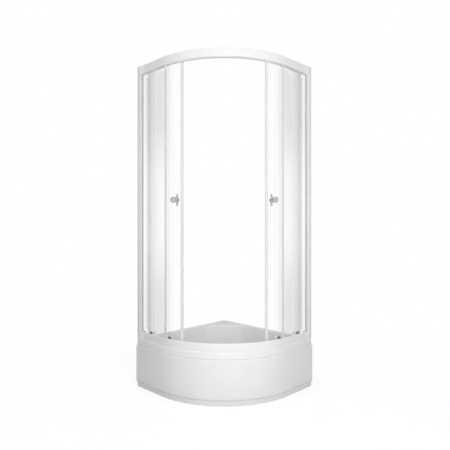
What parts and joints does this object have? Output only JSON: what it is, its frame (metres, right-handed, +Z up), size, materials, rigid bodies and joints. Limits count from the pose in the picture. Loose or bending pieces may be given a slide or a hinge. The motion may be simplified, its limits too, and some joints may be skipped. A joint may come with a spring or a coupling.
{
  "type": "shower enclosure",
  "caption": "Corner quadrant shower enclosure with a deep tray, fixed side panes and curved glass doors that roll in bent rails.",
  "frame": {"origin": "centre of the square footprint on the floor", "axes": "+Z up; the room corner is at -X +Y and the door opening faces +X -Y"},
  "size_m": [0.8, 0.8, 2.053],
  "materials": {
    "acrylic": "white glossy acrylic",
    "galvanised_steel": "galvanised steel",
    "screw_steel": "stainless steel",
    "plain_plastic": "light grey moulded plastic",
    "chrome": "chrome plated metal",
    "rubber_black": "black rubber",
    "gasket_grey": "grey glazing rubber",
    "white_aluminium": "white powder coated aluminium",
    "clear_glass": "clear tempered glass",
    "seal_plastic": "translucent white seal plastic",
    "roller_nylon": "dark grey nylon"
  },
  "bodies": {
    "cabin": {"tray_shell": "acrylic", "front_apron": "acrylic", "apron_clips": "galvanised_steel", "frame_long_bars": "galvanised_steel", "frame_cross_bars": "galvanised_steel", "foot_studs": "screw_steel", "foot_pads": "plain_plastic", "foot_nuts": "screw_steel", "drain_flange": "chrome", "drain_seal": "rubber_black", "trap_body": "plain_plastic", "outlet_pipe": "plain_plastic", "bottom_rail": "white_aluminium", "top_rail": "white_aluminium", "left_wall_profile": "white_aluminium", "right_wall_profile": "white_aluminium", "profile_screws": "screw_steel", "left_jamb": "white_aluminium", "right_jamb": "white_aluminium", "rail_plugs": "plain_plastic", "rail_screws": "screw_steel", "left_fixed_glass": "clear_glass", "right_fixed_glass": "clear_glass", "left_glass_gasket": "gasket_grey", "right_glass_gasket": "gasket_grey", "left_edge_strip": "seal_plastic", "right_edge_strip": "seal_plastic", "door_stops": "rubber_black"},
    "drain_lid": {"drain_cover": "chrome"},
    "left_door": {"left_door_glass": "clear_glass", "left_magnetic_strip": "seal_plastic", "left_trailing_seal": "seal_plastic", "left_roller_axles": "screw_steel", "left_roller_bushes": "plain_plastic", "left_roller_caps": "chrome", "left_knob": "chrome", "left_knob_bar": "chrome", "left_knob_stud": "screw_steel", "left_knob_cap": "chrome"},
    "left_front_bottom_roller": {"left_front_bottom_wheel": "roller_nylon"},
    "left_front_top_roller": {"left_front_top_wheel": "roller_nylon"},
    "left_rear_bottom_roller": {"left_rear_bottom_wheel": "roller_nylon"},
    "left_rear_top_roller": {"left_rear_top_wheel": "roller_nylon"},
    "right_door": {"right_door_glass": "clear_glass", "right_magnetic_strip": "seal_plastic", "right_trailing_seal": "seal_plastic", "right_roller_axles": "screw_steel", "right_roller_bushes": "plain_plastic", "right_roller_caps": "chrome", "right_knob": "chrome", "right_knob_bar": "chrome", "right_knob_stud": "screw_steel", "right_knob_cap": "chrome"},
    "right_front_bottom_roller": {"right_front_bottom_wheel": "roller_nylon"},
    "right_front_top_roller": {"right_front_top_wheel": "roller_nylon"},
    "right_rear_bottom_roller": {"right_rear_bottom_wheel": "roller_nylon"},
    "right_rear_top_roller": {"right_rear_top_wheel": "roller_nylon"}
  },
  "joints": [
    {"name": "drain_lift", "type": "slide", "parent": "cabin", "child": "drain_lid", "axis": [0, 0, 1], "range_m": [0, 0.05]},
    {"name": "left_door_slide", "type": "hinge", "parent": "cabin", "child": "left_door", "pos_m": [-0.18756, 0.21018, 1.18], "axis": [0, 0, 1], "range_deg": [0, 26.16]},
    {"name": "left_front_bottom_spin", "type": "hinge", "parent": "left_door", "child": "left_front_bottom_roller", "pos_m": [-0.09883, -0.36626, 0.3553], "axis": [-0.1605, 0.987, 0], "continuous": true},
    {"name": "left_front_top_spin", "type": "hinge", "parent": "left_door", "child": "left_front_top_roller", "pos_m": [-0.09883, -0.36626, 2.0263], "axis": [-0.1605, 0.987, 0], "continuous": true},
    {"name": "left_rear_bottom_spin", "type": "hinge", "parent": "left_door", "child": "left_rear_bottom_roller", "pos_m": [-0.28615, -0.36229, 0.3553], "axis": [0.2022, 0.9794, 0], "continuous": true},
    {"name": "left_rear_top_spin", "type": "hinge", "parent": "left_door", "child": "left_rear_top_roller", "pos_m": [-0.28615, -0.36229, 2.0263], "axis": [0.2022, 0.9794, 0], "continuous": true},
    {"name": "right_door_slide", "type": "hinge", "parent": "cabin", "child": "right_door", "pos_m": [-0.21018, 0.18756, 1.18], "axis": [0, 0, -1], "range_deg": [0, 26.16]},
    {"name": "right_front_bottom_spin", "type": "hinge", "parent": "right_door", "child": "right_front_bottom_roller", "pos_m": [0.36626, 0.09883, 0.3553], "axis": [0.987, -0.1605, 0], "continuous": true},
    {"name": "right_front_top_spin", "type": "hinge", "parent": "right_door", "child": "right_front_top_roller", "pos_m": [0.36626, 0.09883, 2.0263], "axis": [0.987, -0.1605, 0], "continuous": true},
    {"name": "right_rear_bottom_spin", "type": "hinge", "parent": "right_door", "child": "right_rear_bottom_roller", "pos_m": [0.36229, 0.28615, 0.3553], "axis": [0.9794, 0.2022, 0], "continuous": true},
    {"name": "right_rear_top_spin", "type": "hinge", "parent": "right_door", "child": "right_rear_top_roller", "pos_m": [0.36229, 0.28615, 2.0263], "axis": [0.9794, 0.2022, 0], "continuous": true}
  ],
  "couplings": [
    {"joint": "left_front_bottom_spin", "follows": "left_door_slide", "ratio": 48.6},
    {"joint": "left_front_top_spin", "follows": "left_door_slide", "ratio": 48.6},
    {"joint": "left_rear_bottom_spin", "follows": "left_door_slide", "ratio": 48.381},
    {"joint": "left_rear_top_spin", "follows": "left_door_slide", "ratio": 48.381},
    {"joint": "right_front_bottom_spin", "follows": "right_door_slide", "ratio": 48.6},
    {"joint": "right_front_top_spin", "follows": "right_door_slide", "ratio": 48.6},
    {"joint": "right_rear_bottom_spin", "follows": "right_door_slide", "ratio": 48.381},
    {"joint": "right_rear_top_spin", "follows": "right_door_slide", "ratio": 48.381}
  ]
}
